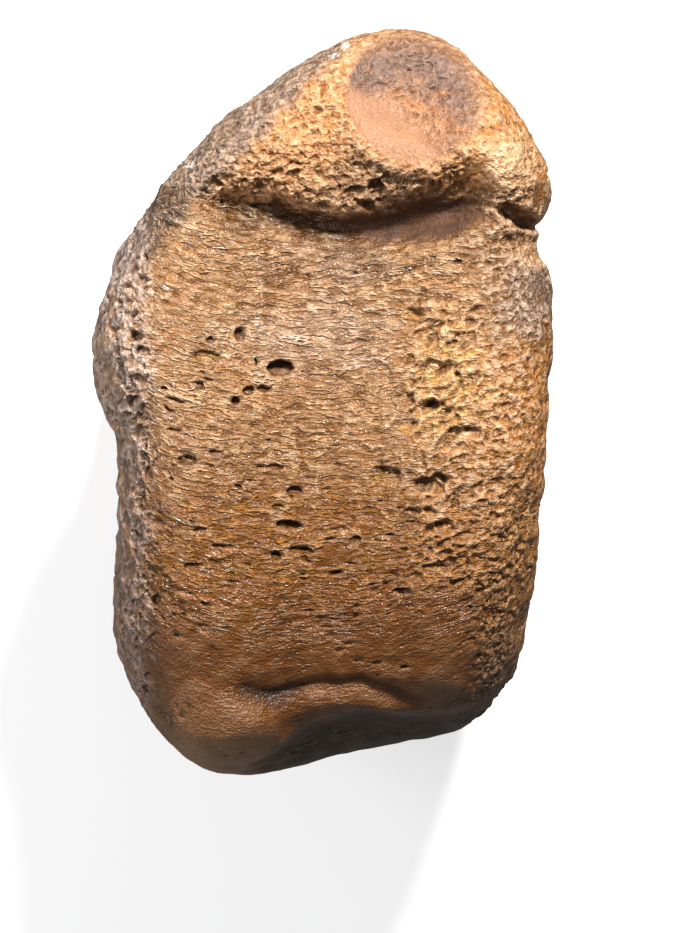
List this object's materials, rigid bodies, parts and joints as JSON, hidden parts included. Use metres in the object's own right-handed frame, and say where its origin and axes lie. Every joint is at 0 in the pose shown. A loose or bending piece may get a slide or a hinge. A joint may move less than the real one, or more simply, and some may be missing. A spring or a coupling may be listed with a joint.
{
  "type": "fossil mammoth vertebra",
  "caption": "Brown fossil body of a mammoth thoracic vertebra, its arch broken off, lying on its side.",
  "frame": {"origin": "centre of the bounding box's bottom face, on the surface the bone lies on", "axes": "+X towards the rear end face, +Y towards the back side, where the arch broke off, and +Z towards the side that shows"},
  "size_m": [0.0796, 0.1328, 0.1181],
  "materials": {
    "fossil_bone": "satin, fibrous and pitted"
  },
  "bodies": {
    "root": {"vertebra": "fossil_bone"}
  },
  "joints": []
}
